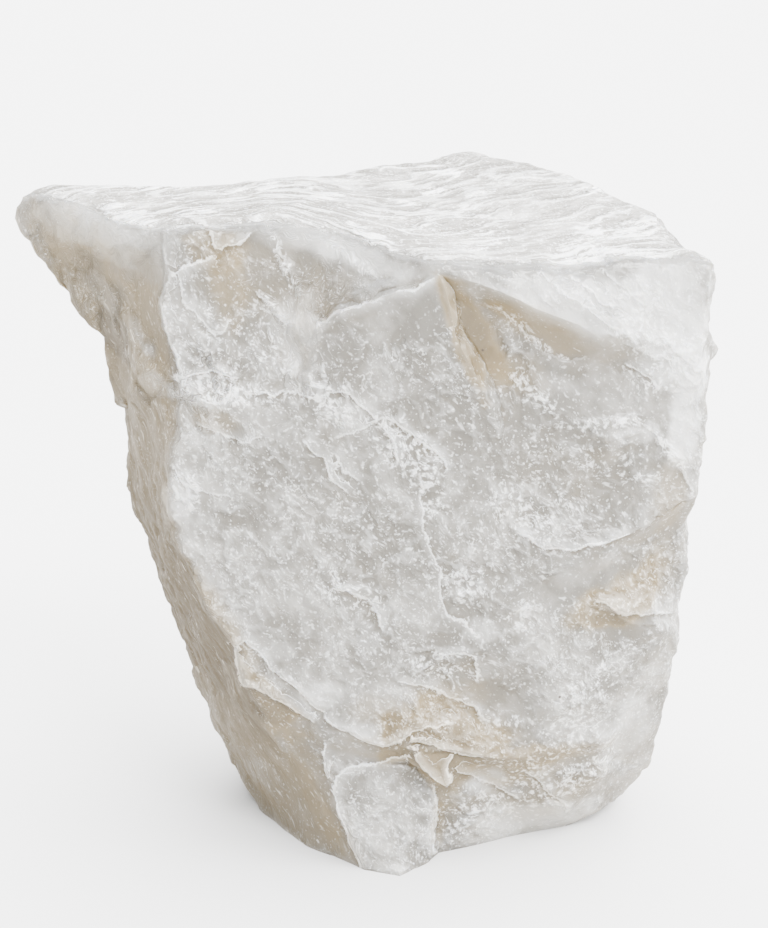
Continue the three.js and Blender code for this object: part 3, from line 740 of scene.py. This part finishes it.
def mark(name, output="Fac"):
    return t.node("ShaderNodeAttribute", attribute_name=name)[output]


def blend(factor, first, second):
    """first where factor is 0, second where it is 1."""
    return t.node("ShaderNodeMix", {"Factor": factor, 6: first, 7: second}, data_type="RGBA")[2]


def rgba(colour):
    return (*colour, 1)


place = t.vector("SCALE", t.node("ShaderNodeTexCoord")["Object"], Scale=1 / MM)
grain = mark("grain", "Vector")
up = mark("up")
under = mark("under")
shade = mark("shade")
rough = mark("rough")
smooth = mark("smooth")
bruise = mark("bruise")
knob = mark("knob")
cloud = mark("cloud")
unswept = mix_vector(up, grain, place)

fine = t.noise(grain, FINE_SIZE, detail=3, Roughness=0.75)
crags = t.crags(grain, CREST_SIZE, 2, 0.5)
curls = t.crags(unswept, CURL_SIZE, 0, 0.6)
flecks = t.noise(unswept, FLECK_SIZE, detail=1)
breaks = t.noise(place, BREAK_SIZE, detail=1).rise(0.42, 0.56)
dust = t.noise(place, DUST_SIZE, detail=0)

# A plate's edge is painted as a bright line that wanders: a painted highlight with a glow on its proud side,
# and a painted shadow on the other.
proud, past_end, edge_strength = t.parts(mark("plate_edge", "Vector"))
proud = proud + (fine - 0.5) * 1.4
on_line = (1 - past_end.rise(0.2, 1.0)) * edge_strength
rim = (1 - abs(proud - 0.15).rise(0.08, 0.25)) * on_line
rim_glow = (1 - proud.rise(0.1, 2.0)) * proud.rise(-0.05, 0.1) * on_line
rim_shade = (1 - (-proud).rise(0.1, 1.0)) * (-proud).rise(-0.05, 0.1) * on_line

# What is white: chip edges seen as curled strokes, short streaks and dots, the crests of the crags, crushed
# foam, and soft pale stretches. Part of it is the stone's own white and part is painted light: glints on the
# flecks, sheen on the top, highlights on ridges and the rim.
room = (cloud * 0.6 + fine * 0.4 + rough * 0.3 + bruise * 0.1).rise(0.55, 0.75)
strokes = (curls + (fine - 0.5) * 1.2 + bruise * 0.15).rise(0.88, 1.08) * room * breaks
streaks = (flecks + bruise * 0.05 + rough * 0.03 - smooth * 0.06 - shade * 0.03).rise(0.6, 0.76)
dots = dust.rise(0.7, 0.76) * (0.4 + rough * 0.45) * (1 - smooth * 0.9) * (1 - shade * 0.5).clamped()
crests = (crags + (fine - 0.5) * 1.2).rise(1.1, 1.5) * rough
froth = flecks * (1 - up) + fine * up
foam = (bruise * 0.7 + (froth - 0.5) * 5).rise(0.4, 1.2) * (bruise * 2).clamped()
# Painted light on the rounded rim between top and front, with the tone patches, which are partly painted
# light, and the lighter knobs.
pale = (mark("tone") - 0.4).clamped() * 0.5 + up * (1 - up) * 0.8 + knob * 0.12
# Painted highlight along narrow ridges.
ridge_highlight = (mark("hollow_fine") * -4).clamped()
# The extra white on the top is painted sheen; the plate-edge rim and its glow are painted highlights.
white = (strokes * 0.65 + streaks * 0.5 + dots * 0.8 + pale + crests * (0.3 + up * 0.8)
         + foam * (0.35 + up * 0.45) + rim * 1.3 + rim_glow * 0.35 + ridge_highlight * 0.12).clamped()

# What lies under the white: clear or milky stone, lighter or darker by patches that are partly painted light
# and shade, a painted warm beige glow and shade where light comes through it, and painted brown shade where
# it is deep.
milk = ((cloud - 0.5) * 3.6 + (fine - 0.5) * 0.6 + 0.22 + mark("tone") * 0.8
        - up.rise(0.85, 1.0) * 0.2).clamped()
# Painted warm glow and shade: in wide hollows, under overhangs, on the shaded left-hand face and in the
# listed patches. Flecks there turn cream with it.
warmth = ((mark("hollow_wide") * 0.3).clamped() + under * 0.3 + shade * 0.9 + mark("warmth") * 0.7
          - knob * 0.35 + (cloud - 0.5) * 0.3).clamped()
# Painted shade in the gaps between the curls.
gap_shade = (0.6 - curls).larger(0) * room
# Painted shade, darkest brown: in the deepest warm patches, below plate edges, on the left-hand face, between
# curls and in the hollows of the crags.
depth = ((mark("warmth") - 0.9).clamped() * 0.5 + rim_shade * 0.5 + shade * 0.65 + gap_shade * 0.25
         + (0.7 - crags) * rough * 0.15).clamped()
body = blend(milk, rgba(CLEAR_GREY), rgba(MILK_WHITE))
body = blend(warmth, body, rgba(GLOW_AND_SHADE_BEIGE))
body = blend(depth, body, rgba(DEEP_SHADE_BROWN))
fleck = blend(warmth * 0.7, rgba(FLECK_WHITE), rgba(FLECK_CREAM))
body = blend(white * 0.95, body, fleck)

# A few tiny brown specks, one in some of the cells of a loose lattice.
cell = t.node("ShaderNodeTexVoronoi", {"Vector": place, "Scale": 1 / SPECK_SPACING})
luck = t.node("ShaderNodeSeparateColor", {0: cell["Color"]})["Red"]
chosen = luck.rise(1 - SPECK_CHANCE, 1.01 - SPECK_CHANCE)
body = blend((1 - cell["Distance"].rise(0.03, 0.055)) * chosen, body, rgba(SPECK_BROWN))

skin = (crags * (rough * 0.4 + 0.08) + curls * (rough * 0.05 + 0.01) + fine * (rough * 0.2 + 0.08)
        + dots * 0.1 + rim_glow * 0.3)
bump = t.node("ShaderNodeBump", {"Strength": 1.0, "Distance": MM, "Height": skin})["Normal"]
shader = t.node("ShaderNodeBsdfPrincipled", {
    "Base Color": body,
    "Roughness": (0.14 + fine * 0.16 + shade * 0.3).clamped(),
    "IOR": QUARTZ_IOR,
    "Subsurface Weight": GLOW_SHARE,
    "Subsurface Radius": GLOW_RADIUS,
    "Subsurface Scale": GLOW_DEPTH,
    "Normal": bump,
})["BSDF"]
t.node("ShaderNodeOutputMaterial", {"Surface": shader})


def drawn_lines(name, lines):
    """The lines as loose edges, in mm on the plane of the front. Each edge knows which way is proud."""
    points = []
    edges = []
    ways = []
    for strength, line in lines:
        for step in range(len(line) - 1):
            edges.append((len(points) + step, len(points) + step + 1))
            run = Vector(line[step + 1]) - Vector(line[step])
            run.normalize()
            ways.append((-run.y, strength, run.x))
        points += [(across, 0, height) for across, height in line]
    mesh = bpy.data.meshes.new(name)
    mesh.from_pydata(points, edges, [])
    proud_way = mesh.attributes.new("proud_way", "FLOAT_VECTOR", "EDGE")
    for edge, way in enumerate(ways):
        proud_way.data[edge].vector = way
    drawn = bpy.data.objects.new(name, mesh)
    bpy.context.scene.collection.objects.link(drawn)
    return drawn


plate_edges = drawn_lines("plate_edges", PLATE_EDGES)
relief_values = {**RELIEF_INPUTS, "Plate edges": plate_edges, "Material": quartz}
dressing = block.modifiers.new("relief", "NODES")
dressing.node_group = relief
for item in relief.interface.items_tree:
    if item.in_out == "INPUT" and item.name in relief_values:
        dressing[item.identifier] = relief_values[item.name]
apply_modifiers(block)
bpy.data.objects.remove(plate_edges)
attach(block, "root")
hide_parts("quartz_block")

# ---- Studio ---------------------------------------------------------------------------------------
# A pale sheet to stand on, a broad light above and behind, a weaker one in front and a camera that
# looks down on the stone by twenty degrees.
FLOOR_HALF = 3.0
PAPER_WHITE = (0.76, 0.76, 0.76)
PAPER_BOUNCE = (0.44, 0.43, 0.41)   # how much of the light the sheet throws back up at the stone
PAPER_ROUGHNESS = 0.9
ROOM_COLOUR = (0.97, 0.985, 1.0)
ROOM_LIGHT = 1.5
SKY_LIGHT = 24
SKY_WIDTH = 110                     # degrees across, as the window is
SKY_LIGHT_FROM = (0.42, 0.28, 0.86)
WINDOW_LIGHT = 3.2
WINDOW_WIDTH = 18
WINDOW_LIGHT_FROM = (0.30, -0.60, 0.74)
CAMERA_DISTANCE = 0.45
CAMERA_ELEVATION = math.radians(20)
LOOK_AT = Vector((0.0036, -0.0058, 0.0565))
LENS = 112.6                        # mm, as the sensor width is
SENSOR_WIDTH = 36
NEAREST_SEEN = 0.01

floor_mesh = bpy.data.meshes.new("floor")
sides = (-FLOOR_HALF, FLOOR_HALF)
floor_mesh.from_pydata([(x, y, 0) for y in sides for x in sides], [], [(0, 1, 3, 2)])
floor = bpy.data.objects.new("floor", floor_mesh)
bpy.context.scene.collection.objects.link(floor)
paper = bpy.data.materials.new("paper")
paper.use_nodes = True
t = Tree(paper.node_tree)
sheet = paper.node_tree.nodes["Principled BSDF"]
seen = t.node("ShaderNodeLightPath")["Is Camera Ray"]
paper_colour = blend(seen, rgba(PAPER_BOUNCE), rgba(PAPER_WHITE))
paper.node_tree.links.new(paper_colour.output, sheet.inputs["Base Color"])
sheet.inputs["Roughness"].default_value = PAPER_ROUGHNESS
floor_mesh.materials.append(paper)

world = bpy.data.worlds.new("studio")
world.use_nodes = True
background = world.node_tree.nodes["Background"]
background.inputs["Color"].default_value = rgba(ROOM_COLOUR)
background.inputs["Strength"].default_value = ROOM_LIGHT
bpy.context.scene.world = world


def sun(name, energy, width, toward):
    """A light of a given angular width in degrees that comes from one direction."""
    lamp = bpy.data.lights.new(name, "SUN")
    lamp.energy = energy
    lamp.angle = math.radians(width)
    light = bpy.data.objects.new(name, lamp)
    light.rotation_euler = Vector(toward).to_track_quat("Z", "Y").to_euler()
    bpy.context.scene.collection.objects.link(light)


sun("sky_light", SKY_LIGHT, SKY_WIDTH, SKY_LIGHT_FROM)
sun("window_light", WINDOW_LIGHT, WINDOW_WIDTH, WINDOW_LIGHT_FROM)

lens = bpy.data.cameras.new("camera")
lens.lens = LENS
lens.sensor_width = SENSOR_WIDTH
lens.clip_start = NEAREST_SEEN
camera = bpy.data.objects.new("camera", lens)
towards = Vector((0, -math.cos(CAMERA_ELEVATION), math.sin(CAMERA_ELEVATION)))
camera.location = LOOK_AT + towards * CAMERA_DISTANCE
camera.rotation_euler = (-towards).to_track_quat("-Z", "Y").to_euler()
bpy.context.scene.collection.objects.link(camera)
bpy.context.scene.camera = camera
